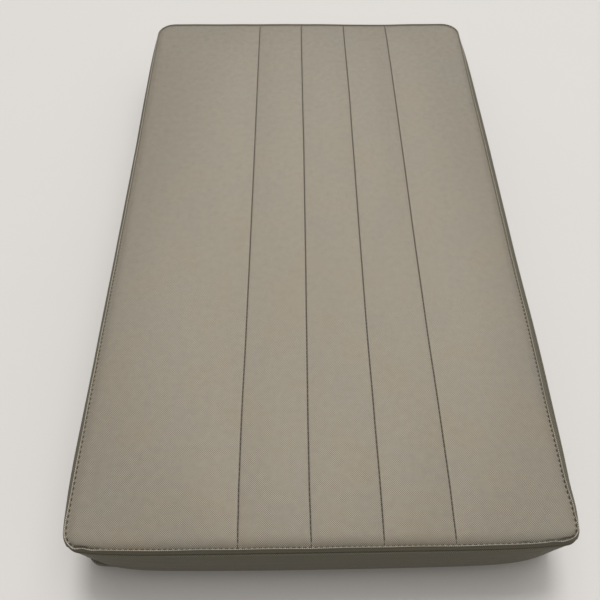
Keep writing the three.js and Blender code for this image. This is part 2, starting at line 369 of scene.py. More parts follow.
def swell(loop):
    """Shoulder, bulge, foot and shoulder's depth of the boxing round an outline."""
    x, y = loop["x"], loop["y"]
    long_side = np.abs(loop["nx"]) > np.abs(loop["ny"])
    corner = corner_at(x, y)
    side = np.where(long_side, np.where(x < 0, LEFT, RIGHT), np.where(y < 0, FRONT, BACK))
    reach = np.where(long_side, HALF_LENGTH, HALF_WIDTH) - RADIUS[corner]
    t = np.minimum(1, np.abs(np.where(long_side, y, x)) / reach)
    dwindle = np.where(side == FRONT, FRONT_DWINDLE, 0) * t**2
    share = ((1 - t ** SWELL_POWER[side]) * (1 - dwindle))[:, None]
    made = (CORNER_SWELL[corner] * (1 - share) + SIDE_SWELL[side] * share).T.copy()
    for which, humps in ((LEFT, LEFT_FULLER), (RIGHT, RIGHT_FULLER)):
        for height, place, spread in humps:
            made[0] += np.where(side == which, height * bell(y - place, spread), 0)
    return made


def plan_grid(xs, steps, inset):
    """Grid of plan points whose rim is the outline moved in, rows by columns."""
    ends = []
    for end in (-1, 1):
        radius = RADIUS[corner_at(xs, end)] - inset
        past = np.maximum(0, np.abs(xs) - (HALF_WIDTH - inset - radius))
        rise = np.sqrt(np.maximum(0, radius**2 - past**2))
        ends.append(end * (HALF_LENGTH - inset - radius + rise))
    share = np.linspace(0, 1, steps + 1)[:, None]
    y = ends[0] * (1 - share) + ends[1] * share
    return np.broadcast_to(xs, y.shape), y


def rim_of(grid):
    """Numbers on a grid's rim, counter-clockwise from its front left corner."""
    return np.concatenate([grid[0, :-1], grid[:-1, -1], grid[-1, :0:-1], grid[:0:-1, 0]])


def grid_columns():
    """Columns of the panel's grid: close together at its channels and corners."""
    half = HALF_WIDTH - GRID_INSET
    beside = np.array([0, 0.22, 0.45, 0.75, 1.15, 1.7, 2.5, 3.8, 6, 10, 17, 30])
    angles = np.radians(np.linspace(0, 90, 9))
    wide = 12  # spacing on the two broad strips, left and right of the channels
    xs = [*np.arange(-half + 30, CHANNEL_XS[0] - 29, wide)]
    xs += [*np.arange(CHANNEL_XS[-1] + 40, half - 29, wide)]
    for cx in CHANNEL_XS:
        xs += [*(cx + beside), *(cx - beside)]
    for corner, radius in enumerate(RADIUS):
        r = radius - GRID_INSET
        place = half - r + r * np.sin(angles)
        xs += [*(place if corner % 2 else -place)]
    xs = np.sort(np.array([x for x in xs if abs(x) <= half]))
    closest = 0.12  # columns nearer than this to the one before are dropped
    keep = np.concatenate([[True], np.diff(xs) > closest])
    return xs[keep]


# --- Meshes ---


def new_object(name, data):
    """An object in the scene for a mesh, a light or a camera."""
    made = bpy.data.objects.new(name, data)
    bpy.context.scene.collection.objects.link(made)
    return made


class Builder:
    """Collects points, faces, the weave's flat coordinates and the wear and painted light of
    one mesh.

    It has an upper sheet, or none, then rings, each joined to the one before it, and a
    lower sheet, or a bridge back to the first ring, that closes it.
    """

    def __init__(self):
        self.points, self.weave, self.wear, self.faces, self.count = [], [], [], [], 0
        self.rim = self.first = self.last = None

    def add(self, points, weave, wear=0.0):
        first = self.count
        self.points.append(points.reshape(-1, 3))
        self.weave.append(weave.reshape(-1, 2))
        self.count += len(self.points[-1])
        self.wear.append(np.broadcast_to(wear, len(self.points[-1])))
        return np.arange(first, self.count)

    def quads(self, a, b, c, d):
        self.faces.extend(np.stack([a, b, c, d], -1).reshape(-1, 4).tolist())

    def sheet(self, x, y, z, wear=0.0, up=True):
        """Adds a grid of the plan as the upper face, or as the one that closes the mesh."""
        numbers = self.add(settled(x, y, z), np.stack([x, y], -1), wear).reshape(x.shape)
        a, b = numbers[:-1, :-1], numbers[:-1, 1:]
        d, c = numbers[1:, :-1], numbers[1:, 1:]
        if up:
            self.quads(a, b, c, d)
            self.rim = rim_of(numbers)
        else:
            self.quads(a, d, c, b)
            self.zip_loops(self.last, rim_of(numbers))
        return numbers

    def ring(self, points, weave, wear=0.0):
        """Adds a ring and joins it to the one before it, or to the upper sheet's rim."""
        ring = self.add(points, weave, wear)
        if self.last is not None:
            self.bridge(self.last, ring)
        else:
            self.first = ring
            if self.rim is not None:
                self.zip_loops(self.rim, ring)
        self.last = ring
        return ring

    def bridge(self, upper, lower):
        """Joins two loops of the same number of points, the first above."""
        self.quads(upper, lower, np.roll(lower, -1), np.roll(upper, -1))

    def zip_loops(self, upper, lower):
        """Joins loops of different numbers of points with triangles."""
        points = np.concatenate(self.points)
        start = np.argmin(np.linalg.norm(points[lower] - points[upper[0]], axis=1))
        lower = np.roll(lower, -start)
        at_upper = self.shares(points[upper])
        at_lower = self.shares(points[lower])
        i = j = 0
        while i < len(upper) or j < len(lower):
            a, b = upper[i % len(upper)], lower[j % len(lower)]
            if j >= len(lower) or (i < len(upper) and at_upper[i + 1] <= at_lower[j + 1]):
                face = [a, b, upper[(i + 1) % len(upper)]]
                i += 1
            else:
                face = [a, b, lower[(j + 1) % len(lower)]]
                j += 1
            self.faces.append([int(k) for k in face])

    @staticmethod
    def shares(points):
        """Share of the way round a loop at which each of its points is, and 1 at its end."""
        steps = np.linalg.norm(np.roll(points, -1, axis=0) - points, axis=1)
        return np.concatenate([[0], np.cumsum(steps) / steps.sum()])

    def mesh(self, name, material):
        made = bpy.data.meshes.new(name)
        points = np.concatenate(self.points) * MM
        made.from_pydata(points.tolist(), [], self.faces)
        weave = np.concatenate(self.weave)
        layer = made.uv_layers.new(name="weave")
        corners = np.empty(len(made.loops), dtype=np.int32)
        made.loops.foreach_get("vertex_index", corners)
        layer.data.foreach_set("uv", weave[corners].astype(np.float32).ravel())
        wear = made.attributes.new("wear", "FLOAT", "POINT")
        wear.data.foreach_set("value", np.concatenate(self.wear).astype(np.float32))
        made.shade_smooth()
        made.validate()
        made.materials.append(material)
        return new_object(name, made)


def ring_points(out, z):
    """A ring of the cushion, out of the stitches, and its flat coordinates on the plan."""
    x, y = SEAM["x"] + SEAM["nx"] * out, SEAM["y"] + SEAM["ny"] * out
    return settled(x, y, z), np.stack([x, y], -1)


def seam_loop():
    """The stitched line with a whole number of stitches, and what changes along it."""
    total = outline(1)["total"]
    count = round(total / EDGE_PITCH)
    loop = outline(count * STEPS_PER_STITCH)
    loop["pull"] = stitch_pull(loop["s"], total / count)
    loop["front"] = np.clip(-loop["ny"], 0, 1) ** 2  # 1 along the front, 0 at the sides
    loop["narrow"] = 1 - FRONT_NARROWING * loop["front"]
    loop["kink"] = kinks(loop)
    return loop


SEAM = seam_loop()
BAND_SWELL = swell(SEAM)


def edge_fall(x, y):
    """How far the panel's grid falls away towards the stitches round its edge."""
    out = -edge_distance(x, y)
    front = np.clip((-y - HALF_LENGTH + FRONT_EDGE) / FRONT_EDGE, 0, 1)
    front = front * (np.abs(x) < HALF_WIDTH - FRONT_EDGE_ENDS)
    below = np.interp(out, PANEL_EDGE[:, 0], PANEL_EDGE[:, 1])
    return below + np.interp(out, PANEL_EDGE[:, 0], PANEL_EDGE[:, 2]) * front


def inner_grid(columns, steps):
    """Even plan grid for a face that lies inside the stitched line."""
    half = HALF_WIDTH - INNER_INSET
    return plan_grid(np.linspace(-half, half, columns), steps, INNER_INSET)


def make_panel(material):
    """The panel: its grid, the rings over its rolled edge and its plain back."""
    b = Builder()
    x, y = plan_grid(grid_columns(), GRID_STEPS, GRID_INSET)
    # Painted shade along the channels.
    channel_painted_shade = CHANNEL_PAINTED_SHADE * bell(from_channel(x), CHANNEL_PAINTED_SHADE_WIDTH)
    b.sheet(x, y, panel_height(x, y) - edge_fall(x, y), channel_painted_shade.ravel())
    first = PANEL_EDGE[:, 0].tolist().index(RINGS_FROM)
    for out, below, deeper, pulled, wear in PANEL_EDGE[first:]:
        below = below + deeper * SEAM["front"]
        wide = out * SEAM["narrow"] if out > 0 else out
        wide = wide + SEAM["kink"] * np.clip(0.5 + out / 2, 0, 1)
        ring_x = SEAM["x"] + SEAM["nx"] * min(out, 0)
        ring_y = SEAM["y"] + SEAM["ny"] * min(out, 0)
        top = panel_height(ring_x, ring_y) if out < 0 else SEAM_HEIGHT
        pull = EDGE_PULL + (FRONT_PULL - EDGE_PULL) * SEAM["front"]
        z = top - below + pull * pulled * (SEAM["pull"] - PULL_LEVEL)
        # Painted shade under 0 is darkest mid-stitch, under the thread; the painted highlight
        # over 0 is even.
        worn_and_painted_light = wear * (1 - SEAM["pull"]) if wear < 0 else wear
        if out < 0.3:  # inside the roll
            # Painted shade in the puckers, darker the deeper they are.
            worn_and_painted_light = worn_and_painted_light - PUCKER_PAINTED_SHADE * pucker_depth(ring_x, ring_y, max(0.0, -out))
        b.ring(*ring_points(wide, z), worn_and_painted_light)
    for out, below in PANEL_TURNED_UNDER:
        b.ring(*ring_points(out, SEAM_HEIGHT - below))
    b.sheet(*inner_grid(40, 60), SEAM_HEIGHT - PANEL_TURNED_UNDER[-1][1] - 0.1, up=False)
    return b.mesh("seat_panel", material)


# --- Boxing ---

# Depths are under the seam height, and reaches are out of the stitches.
BAND_TOP, BAND_TOP_OUT = 1.0, 1.2  # depth and reach where the band comes out of the seam
BAND_WIDEST = 46
BAND_BOTTOM = 74
SHOULDER_POWER, BULGE_POWER, FOOT_POWER = 1.5, 1.8, 2.2  # roundness of its three parts
BAND_STITCH_DEPTH = 5.6  # second row of stitches
BAND_SHEET = 1.5  # room left for the vinyl, inside which the hidden faces lie
BAND_BACK = 1.2  # how much further in the band's hidden inner face is
BAND_BACK_WEAVE = -150  # where the flat coordinates of that face begin
TURN_IN_FROM, TURN_IN = 71.5, 1.6  # from this depth the foot turns in, and how far
BAND_KINK = 0.7  # share of the rolled edge's kinks at 1 mm depth, less further down


def band_reach(depth):
    """How far out of the stitches the band's outer face is at a depth."""
    shoulder, bulge, foot, soon = BAND_SWELL
    top = BAND_TOP_OUT * SEAM["narrow"]
    if depth <= BAND_WIDEST:
        left = 1 - (depth - BAND_TOP) / (BAND_WIDEST - BAND_TOP)
        quick = 1 - np.exp(-(((depth - BAND_TOP) / soon) ** SHOULDER_POWER))
        full = 1 - left**BULGE_POWER
        return top + (shoulder - top) * quick + (bulge - shoulder) * full
    down = (depth - BAND_WIDEST) / (SEAM_HEIGHT - FLOOR - BAND_WIDEST)
    return bulge + (foot - bulge) * down**FOOT_POWER


# Soft creases of the boxing: distance round at their middle, half their length, depth,
# half their width, slope, and how far in.
CREASES = [
    (60, 34, 17, 1.6, 0.05, 0.5), (150, 60, 27, 2.4, -0.03, 0.4),
    (262, 45, 15, 1.5, 0.02, 0.45), (330, 50, 22, 2.0, -0.04, 0.5),
    (385, 22, 12, 1.3, -0.12, 0.7), (12, 18, 12, 1.3, 0.16, 0.6),
    (396, 14, 20, 1.6, -0.2, 0.6), (40, 60, 36, 3.0, 0.02, 0.5),
    (300, 70, 40, 3.2, 0.01, 0.5), (520, 80, 24, 2.4, 0.02, 0.4),
    (720, 70, 32, 2.8, -0.02, 0.4), (930, 90, 20, 2.2, 0.02, 0.4),
    (1200, 90, 26, 2.6, 0.02, 0.4), (1340, 60, 38, 3, -0.02, 0.4),
    (1600, 90, 22, 2.4, 0.02, 0.4), (1820, 80, 30, 2.8, -0.02, 0.4),
    (2040, 90, 24, 2.4, 0.02, 0.4), (2170, 26, 16, 1.8, 0.12, 0.6),
]
CREASE_SHARE = 0.45  # of the depths above that is used


def band_creases(depth):
    """How far out the boxing's skin is for its soft creases, under 0 in them."""
    total = SEAM["total"]
    made = np.zeros(len(SEAM["s"]))
    for place, length, low, width, slope, most in CREASES:
        along = (SEAM["s"] - place + total / 2) % total - total / 2
        off = (depth - low - slope * along) / width
        fold = bell(off, 1) - 0.5 * bell(off - 1.8, 1)  # with a roll below it
        made -= CREASE_SHARE * most * bell(along, length) * fold
    return made


def band_detail(depth):
    """Groove of the second row of stitches, the roll over it, the crest and step under it."""
    away = depth - BAND_STITCH_DEPTH
    groove = -0.8 * bell(away, 0.5) * (0.8 + 0.4 * SEAM["pull"])
    roll = 0.25 * bell(away + 2.2, 1.2)
    crest = 0.5 * bell(away - 1.3, 0.6)
    step = 0.3 / (1 + math.exp(-(away - 0.9) / 0.3)) * math.exp(-max(away, 0) / 14)
    return groove + roll + crest + step + band_creases(depth) + band_puff(depth)


def band_wear(depth):
    """Painted shade over and in the second row's groove and along the foot, and a painted
    highlight on the crest under it.
    """
    away = depth - BAND_STITCH_DEPTH
    upper = 0.2 / (1 + math.exp((away + 0.6) / 0.1))
    low = 0.6 * (bell(away, 0.5) + 0.4 * bell(depth - BAND_BOTTOM, 3))
    return 0.15 * bell(away - 1.1, 0.4) - low - upper


# Front left foot, where the turned seam of the underside sticks out as a soft ear.
EAR = {"x": -202.5, "y": -351.5, "spread": 10, "out": 2.8, "height": 10}


def ear(height):
    """How far the ear sticks out of the foot at a height over the floor."""
    away = np.hypot(SEAM["x"] - EAR["x"], SEAM["y"] - EAR["y"])
    share = bell(away, EAR["spread"])
    lump = max(0.0, 1 - ((height - EAR["height"] * 0.42) / (EAR["height"] * 0.62)) ** 2)
    crease = bell(height - EAR["height"] - 1.6, 1.5)
    return share * (EAR["out"] * math.sqrt(lump) - 0.9 * crease)


def ear_wear(height):
    """Painted highlight on the ear's rounded top, and painted shade at its foot and in the
    crease over it.
    """
    away = np.hypot(SEAM["x"] - EAR["x"], SEAM["y"] - EAR["y"])
    share = np.exp(-((away / (EAR["spread"] * 1.1)) ** 4))
    top = bell(height - EAR["height"] + 2.4, 1.2)
    crease = bell(height - EAR["height"] - 0.8, 1)
    low = bell(height - 3, 2.5)
    return share * (1.5 * top - crease - 0.8 * low)


def band_weave(down):
    """Flat coordinates of a ring of the boxing: distance round, and place down its skin."""
    return np.stack([SEAM["s"], np.full(len(SEAM["s"]), down)], -1)


def make_boxing(material):
    """The band: rings down its outer face, close together at the stitches, and its back."""
    b = Builder()
    near_seam = [BAND_TOP, 1.5, 2.0, 2.5, 3.0, 3.5, 4, 4.5, 4.9, 5.2, 5.45, 5.6, 5.75, 6]
    depths = near_seam + [6.3, 6.6, 7, 7.5, 8.2, 9, *np.arange(10, 62, 2.1)]
    depths += [*np.arange(62, 71, 1.2), 71.4, 72, 72.8, 73.5, BAND_BOTTOM]
    along = 0.0  # distance down the skin
    last = None
    for depth in depths:
        height = SEAM_HEIGHT - FLOOR - depth
        turned = max(0, (depth - TURN_IN_FROM) / (BAND_BOTTOM - TURN_IN_FROM))
        out = band_reach(depth) + band_detail(depth) - TURN_IN * turned**2
        out = out + ear(height) + BAND_KINK * SEAM["kink"] / depth
        points, _ = ring_points(out, SEAM_HEIGHT - depth)
        if last is not None:
            along += float(np.mean(np.linalg.norm(points - last, axis=1)))
        last = points
        # Painted light of the band and the ear goes into the wear and painted light attribute.
        b.ring(points, band_weave(-along), band_wear(depth) + ear_wear(height))
    for depth in (72.5, 60, 46, 30, 15, 8, 4, 3):
        out = band_reach(depth) - BAND_SHEET - BAND_BACK
        points, _ = ring_points(out, SEAM_HEIGHT - depth)
        b.ring(points, band_weave(BAND_BACK_WEAVE + depth))
    b.bridge(b.last, b.first)
    return b.mesh("boxing", material)


# --- Cloth simulation ---

SIM_FRAMES = 20
SIM_SMOOTHING = 4  # passes along the channels: foam doesn't fold as sharply as air
SIM_SEAM_DEPTH = 1.5  # depth of the held ring under the rolled edge
SIM_CLOTH = {
    "quality": 6, "mass": 0.3, "tension_stiffness": 40, "compression_stiffness": 20,
    "shear_stiffness": 8, "bending_stiffness": 6, "use_pressure": True,
    "uniform_pressure_force": 2.5,
}


def simulation_mesh():
    """Coarse closed cushion: its object, the panel's, band's and free points' numbers."""
    b = Builder()
    x, y = plan_grid(PUFF_XS, len(PUFF_YS) - 1, GRID_INSET)
    top = b.sheet(x, y, panel_height(x, y))
    band = []
    for depth in (SIM_SEAM_DEPTH, *PUFF_DEPTHS, BAND_BOTTOM):
        out = band_reach(depth) + band_creases(depth)
        out = out * (depth > SIM_SEAM_DEPTH)  # the seam's ring lies under the stitches
        points, flat = ring_points(out, SEAM_HEIGHT - depth)
        band.append(b.ring(points[::PUFF_STEP], flat[::PUFF_STEP]))
    b.sheet(x, y, FLOOR, up=False)
    piece = b.mesh("filling_test", None)
    between = from_channel(PUFF_XS)[1:-1] > 0.1
    free = np.concatenate([top[1:-1, 1:-1][:, between].ravel(), *band[2:-1]])
    return piece, top, np.array(band[1:-1]), free


def simulate_filling():
    """Lets the filling press the sewn cover out for a few frames and keeps the shape.

    The seams, the channels and the foot are held. The points in between move, and how
    far they moved is laid over the detailed meshes of the panel and the boxing.
    """
    piece, top, band, free = simulation_mesh()
    held = piece.vertex_groups.new(name="held")
    loose = set(free.tolist())
    held.add([i for i in range(len(piece.data.vertices)) if i not in loose], 1.0, "REPLACE")
    cloth = piece.modifiers.new("filling", "CLOTH")
    for setting, value in SIM_CLOTH.items():
        setattr(cloth.settings, setting, value)
    cloth.settings.vertex_group_mass = "held"
    cloth.settings.effector_weights.gravity = 0
    cloth.point_cache.frame_start = 1
    cloth.point_cache.frame_end = SIM_FRAMES
    before = np.array([v.co[:] for v in piece.data.vertices]) / MM
    scene = bpy.context.scene
    for number in range(1, SIM_FRAMES + 1):
        scene.frame_set(number)
    shaped = piece.evaluated_get(bpy.context.evaluated_depsgraph_get())
    moved = np.array([v.co[:] for v in shaped.data.vertices]) / MM - before
    scene.frame_set(1)
    bpy.data.objects.remove(piece)
    outward = np.stack([SEAM["nx"], SEAM["ny"]], -1)[::PUFF_STEP]
    raised = moved[top][..., 2]
    for _ in range(SIM_SMOOTHING):
        beside = np.concatenate([raised[:1], raised, raised[-1:]])
        raised = raised / 2 + (beside[:-2] + beside[2:]) / 4
    puffs["panel"] = limited(raised, PUFF_LIMIT["panel"])
    puffs["band"] = limited(np.sum(moved[band][..., :2] * outward, -1), PUFF_LIMIT["band"])


def limited(amount, most):
    """Amount, bent over softly so that it never passes the most that it may be."""
    return most * np.tanh(amount / most)


# --- Underside ---

# Foot of the cushion: inwards from the band's foot, and height over the floor.
BASE_EDGE = [
    (2.6, 5.5), (2.2, 4), (0.9, 2.6), (0.2, 1.9), (0, 1.3), (0.3, 0.6), (1.2, 0.1), (2.4, 0),
]
BASE_TOP = 4.2  # depth under the seam height of its hidden upper face
BASE_BACK = 2  # how far inside the boxing's sheet its hidden sides are
EAR_ON_FLOOR = 0.6  # share of the ear that is left where it meets the floor


def make_base(material):
    """The underside, its turned edge at the foot, and a plain body inside the boxing."""
    b = Builder()
    x, y = inner_grid(60, 90)
    b.sheet(x, y, SEAM_HEIGHT - BASE_TOP)
    for depth in (4.6, 8, 20, 46, 62, 69):
        out = band_reach(depth) - BAND_SHEET - BASE_BACK
        b.ring(*ring_points(out, SEAM_HEIGHT - depth))
    foot = band_reach(BAND_BOTTOM)
    for inside, height in BASE_EDGE:
        out = foot - inside + ear(height) * (1 if height > 0.1 else EAR_ON_FLOOR)
        b.ring(*ring_points(out, FLOOR + height))
    b.sheet(x, y, FLOOR, up=False)
    return b.mesh("cushion_base", material)


# --- Stitches ---

THREAD = 0.31  # radius
THREAD_SIDES = 6
STITCH_GAP = 0.13  # share of a stitch from a needle hole's middle to its thread
NEEDLE_SINK = 1.5  # how far a thread dives into its hole, in radii
NEEDLE_TAPER = 0.3  # and how much thinner it is pulled there


def stitches(name, starts, ends, ups, material):
    """One mesh of threads, each an arch from one needle hole to the next."""
    t = np.array([-1, -0.85, -0.6, 0, 0.6, 0.85, 1])
    share = (t + 1) / 2
    near_hole = np.abs(t) ** 6
    angles = np.arange(THREAD_SIDES) * 2 * math.pi / THREAD_SIDES
    axis = ends - starts
    length = np.linalg.norm(axis, axis=1, keepdims=True)
    axis = axis / length
    side = np.cross(axis, ups)
    middle = starts[:, None] + (ends - starts)[:, None] * share[None, :, None]
    middle = middle - ups[:, None] * (NEEDLE_SINK * THREAD * near_hole)[None, :, None]
    round_it = (
        np.cos(angles)[None, :, None] * side[:, None]
        + np.sin(angles)[None, :, None] * ups[:, None]
    )
    thick = THREAD * (1 - NEEDLE_TAPER * near_hole)
    points = middle[:, :, None] + round_it[:, None] * thick[None, :, None, None]
    b = Builder()
    u = np.broadcast_to(share[None, :, None] * length[:, None], points.shape[:3])
    v = np.broadcast_to(angles[None, None, :] / (2 * math.pi), points.shape[:3])
    numbers = b.add(points, np.stack([u, v], -1)).reshape(points.shape[:3])
    here, there = numbers[:, :-1], numbers[:, 1:]
    b.quads(here, np.roll(here, -1, axis=2), np.roll(there, -1, axis=2), there)
    b.faces.extend(numbers[:, 0, ::-1].tolist())
    b.faces.extend(numbers[:, -1].tolist())
    return b.mesh(name, material)


def seam_stitches(name, out_at, z_at, ups, material):
    """Stitches round the cushion, from hole to hole of the seam's steps."""
    steps = len(SEAM["x"])
    round_seam = (SEAM["x"], SEAM["y"], SEAM["nx"], SEAM["ny"], out_at, z_at)
    points = []
    for share in (STITCH_GAP, 1 - STITCH_GAP):
        s = (np.arange(steps // STEPS_PER_STITCH) + share) * STEPS_PER_STITCH
        x, y, nx, ny, out, z = (
            np.interp(s, np.arange(steps + 1), np.append(row, row[0])) for row in round_seam
        )
        points.append(settled(x + nx * out, y + ny * out, z))
    up = np.stack([nx * ups[0], ny * ups[0], np.full(len(nx), ups[1])], -1)
    up /= np.linalg.norm(up, axis=1, keepdims=True)
    return stitches(name, points[0], points[1], up, material)


CHANNEL_THREAD_LIFT = 0.9  # of a thread's middle over the vinyl, in radii
EDGE_THREAD_LIFT = 0.35  # the same in the groove round the panel, in mm
BOXING_THREAD_SINK = 0.5  # how far in the second row lies, in its own groove


def channel_stitches(material):
    """Stitches along the channels, from the front seam to the back one."""
    ys = -HALF_LENGTH + GRID_INSET + CHANNEL_PITCH * np.arange(-1, CHANNEL_STITCHES + 1)
    reach = HALF_LENGTH - 0.3
    lift = THREAD * CHANNEL_THREAD_LIFT
    starts, ends = [], []
    for cx in CHANNEL_XS:
        for place, share in ((starts, STITCH_GAP), (ends, 1 - STITCH_GAP)):
            y = np.clip(ys + share * CHANNEL_PITCH, -reach, reach)
            x = np.full(len(y), cx)
            place.append(settled(x, y, panel_height(x, y) - edge_fall(x, y) + lift))
    starts, ends = np.concatenate(starts), np.concatenate(ends)
    ups = np.tile([0.0, 0.0, 1.0], (len(starts), 1))
    return stitches("channel_stitches", starts, ends, ups, material)


def edge_stitches(material):
    """Stitches in the groove round the panel, which is deeper along the front."""
    _, groove, deeper, _, _ = PANEL_EDGE[PANEL_EDGE[:, 0].tolist().index(0)]
    z = SEAM_HEIGHT - groove + EDGE_THREAD_LIFT - deeper * SEAM["front"]
    return seam_stitches("edge_stitches", np.zeros(len(z)), z, (0, 1), material)


def boxing_stitches(material):
    """The second row, just under the seam."""
    depth = BAND_STITCH_DEPTH
    out = band_reach(depth) - BOXING_THREAD_SINK + band_creases(depth)
    z = np.full(len(out), SEAM_HEIGHT - depth)
    return seam_stitches("boxing_stitches", out, z, (1, 0.15), material)


# --- Materials ---


class Painter:
    """Adds nodes to one material. Places and periods are in mm of the piece's skin."""

    def __init__(self, name):
        self.material = bpy.data.materials.new(name)
        self.material.use_nodes = True
        tree = self.material.node_tree
        self.nodes, self.links = tree.nodes, tree.links
        self.shader = self.nodes["Principled BSDF"]

    def put(self, socket, value):
        """Gives a socket a constant, or joins another node's output to it."""
        if isinstance(value, bpy.types.NodeSocket):
            self.links.new(value, socket)
        else:
            socket.default_value = value

    def maths(self, operation, first, second=0.0):
        node = self.nodes.new("ShaderNodeMath")
        node.operation = operation
        self.put(node.inputs[0], first)
        self.put(node.inputs[1], second)
        return node.outputs[0]

    def between(self, value, low, high, start=0.0, end=1.0):
        """Value as a share of start..end, turned into the range low..high."""
        node = self.nodes.new("ShaderNodeMapRange")
        node.inputs["From Min"].default_value = start
        node.inputs["From Max"].default_value = end
        node.inputs["To Min"].default_value = low
        node.inputs["To Max"].default_value = high
        self.put(node.inputs["Value"], value)
        return node.outputs["Result"]

    def skin(self):
        """Place on the skin, and its two coordinates by themselves."""
        node = self.nodes.new("ShaderNodeUVMap")
        node.uv_map = "weave"
        parts = self.nodes.new("ShaderNodeSeparateXYZ")
        self.links.new(node.outputs["UV"], parts.inputs[0])
        return node.outputs["UV"], parts.outputs["X"], parts.outputs["Y"]

    def noise(self, place, period, detail=2.0):
        """Smooth noise about 0.5 with the given period."""
        node = self.nodes.new("ShaderNodeTexNoise")
        node.inputs["Scale"].default_value = 1 / period
        node.inputs["Detail"].default_value = detail
        self.put(node.inputs["Vector"], place)
        return node.outputs[0]

    def wave(self, value, period):
        return self.maths("SINE", self.maths("MULTIPLY", value, 2 * math.pi / period))

    def attribute(self, name):
        node = self.nodes.new("ShaderNodeAttribute")
        node.attribute_name = name
        return node.outputs["Fac"]

    def blend(self, share, first, second):
        node = self.nodes.new("ShaderNodeMix")
        node.data_type = "RGBA"
        self.put(node.inputs["Factor"], share)
        self.put(node.inputs["A"], (*first, 1))
        self.put(node.inputs["B"], (*second, 1))
        return node.outputs["Result"]

    def scaled(self, colour, scale):
        node = self.nodes.new("ShaderNodeVectorMath")
        node.operation = "SCALE"
        self.put(node.inputs[0], colour)
        self.put(node.inputs["Scale"], scale)
        return node.outputs[0]

    def bump(self, height, distance, under=None):
        node = self.nodes.new("ShaderNodeBump")
        node.inputs["Strength"].default_value = 0.6
        node.inputs["Distance"].default_value = distance * MM
        self.put(node.inputs["Height"], height)
        if under is not None:
            self.put(node.inputs["Normal"], under)
        return node.outputs["Normal"]


# Periods of the vinyl's patterns, in mm, and how much of its colour the weave's
# painted light takes: painted shade in its hollows, painted highlights on its knots.
WEAVE_PERIOD, GRAIN_PERIOD, MOTTLE_PERIOD, CLOUD_PERIOD, STRAY_PERIOD = 1.7, 0.32, 7, 55, 22
WEAVE_CONTRAST = 0.72
WARM, COOL = (1.02, 0.995, 0.97), (0.98, 1.005, 1.03)  # the two ends of its changes of hue
SHINE_TINT = (1, 0.9, 0.7, 1)  # of its reflections


def tinted(colour, tint):
    return tuple(channel * share for channel, share in zip(colour, tint))


def vinyl(name, colour, gloss, rough, weave=1.0):
    """Marine vinyl with a fine embossed weave, mottled, rubbed pale and given painted
    highlights and shade in places.
    """
    paint = Painter(name)
    shader = paint.shader
    place, x, y = paint.skin()
    # The yarns under the skin wander a little, so the weave isn't a ruled grid.
    stray = paint.between(paint.noise(place, STRAY_PERIOD), -0.5, 0.5)
    along, across = paint.maths("ADD", x, stray), paint.maths("ADD", y, stray)
    knots = paint.maths(
        "MULTIPLY", paint.wave(along, WEAVE_PERIOD), paint.wave(across, WEAVE_PERIOD)
    )
    grain = paint.noise(place, GRAIN_PERIOD, detail=3)
    cloudy = paint.noise(place, CLOUD_PERIOD)
    mottle = paint.noise(place, MOTTLE_PERIOD, detail=4)
    wear = paint.attribute("wear")
    # Colour: painted shade in the weave's low points and painted highlights on its high
    # points; the whole varies from place to place.
    contrast = WEAVE_CONTRAST * weave
    weave_painted_light = paint.between(knots, 1 - contrast, 1 + contrast, start=-1)
    fine = paint.maths("MULTIPLY", weave_painted_light, paint.between(grain, 0.8, 1.2))
    patchy = paint.maths("MULTIPLY", fine, paint.between(mottle, 0.93, 1.07))
    # Colour rubbed pale and given painted highlights and painted shade by the attribute.
    worn_and_painted_light = paint.maths("MULTIPLY", patchy, paint.between(wear, 0.5, 2, start=-1, end=2))
    share = paint.between(cloudy, 0, 1, 0.3, 0.7)
    tint = paint.blend(share, tinted(colour, WARM), tinted(colour, COOL))
    paint.put(shader.inputs["Base Color"], paint.scaled(tint, worn_and_painted_light))
    # Roughness: polished a little where the attribute is over 0, duller where it is under 0 and
    # in the deep of the weave.
    dull = paint.between(knots, rough + 0.04, rough - 0.04, start=-1)
    dull = paint.maths("ADD", dull, paint.between(mottle, -0.05, 0.05))
    dull = paint.maths("SUBTRACT", dull, paint.maths("MULTIPLY", wear, 0.05))
    paint.put(shader.inputs["Roughness"], dull)
    shader.inputs["Specular IOR Level"].default_value = gloss
    shader.inputs["Specular Tint"].default_value = SHINE_TINT
    soft = paint.bump(mottle, 0.12)
    woven = paint.bump(knots, 0.11 * weave, under=soft)
    paint.put(shader.inputs["Normal"], paint.bump(grain, 0.02, under=woven))
    return paint.material


THREAD_PLIES = 3
THREAD_LAY = 2.7  # length of thread in which a ply goes once round it


def thread(name, colour):
    """Bonded polyester thread of twisted plies, dark and slightly shiny."""
    paint = Painter(name)
    shader = paint.shader
    place, x, y = paint.skin()
    turned = paint.maths("MULTIPLY", y, THREAD_PLIES)
    along = paint.maths("MULTIPLY", x, THREAD_PLIES / THREAD_LAY)
    plies = paint.wave(paint.maths("ADD", along, turned), 1.0)
    fuzz = paint.noise(place, 0.15, detail=3)
    shade = paint.between(plies, 0.6, 1.5, start=-1)
    shade = paint.maths("MULTIPLY", shade, paint.between(fuzz, 0.7, 1.3))
    tint = paint.blend(fuzz, colour, [c * 1.3 for c in colour])
    paint.put(shader.inputs["Base Color"], paint.scaled(tint, shade))
    paint.put(shader.inputs["Roughness"], paint.between(fuzz, 0.45, 0.7))
    shader.inputs["Specular IOR Level"].default_value = 0.3
    twist = paint.bump(plies, 0.08)
    paint.put(shader.inputs["Normal"], paint.bump(fuzz, 0.02, under=twist))
    return paint.material


FLOOR_COLOURS = (0.5, 0.484, 0.467), (0.5, 0.482, 0.463)


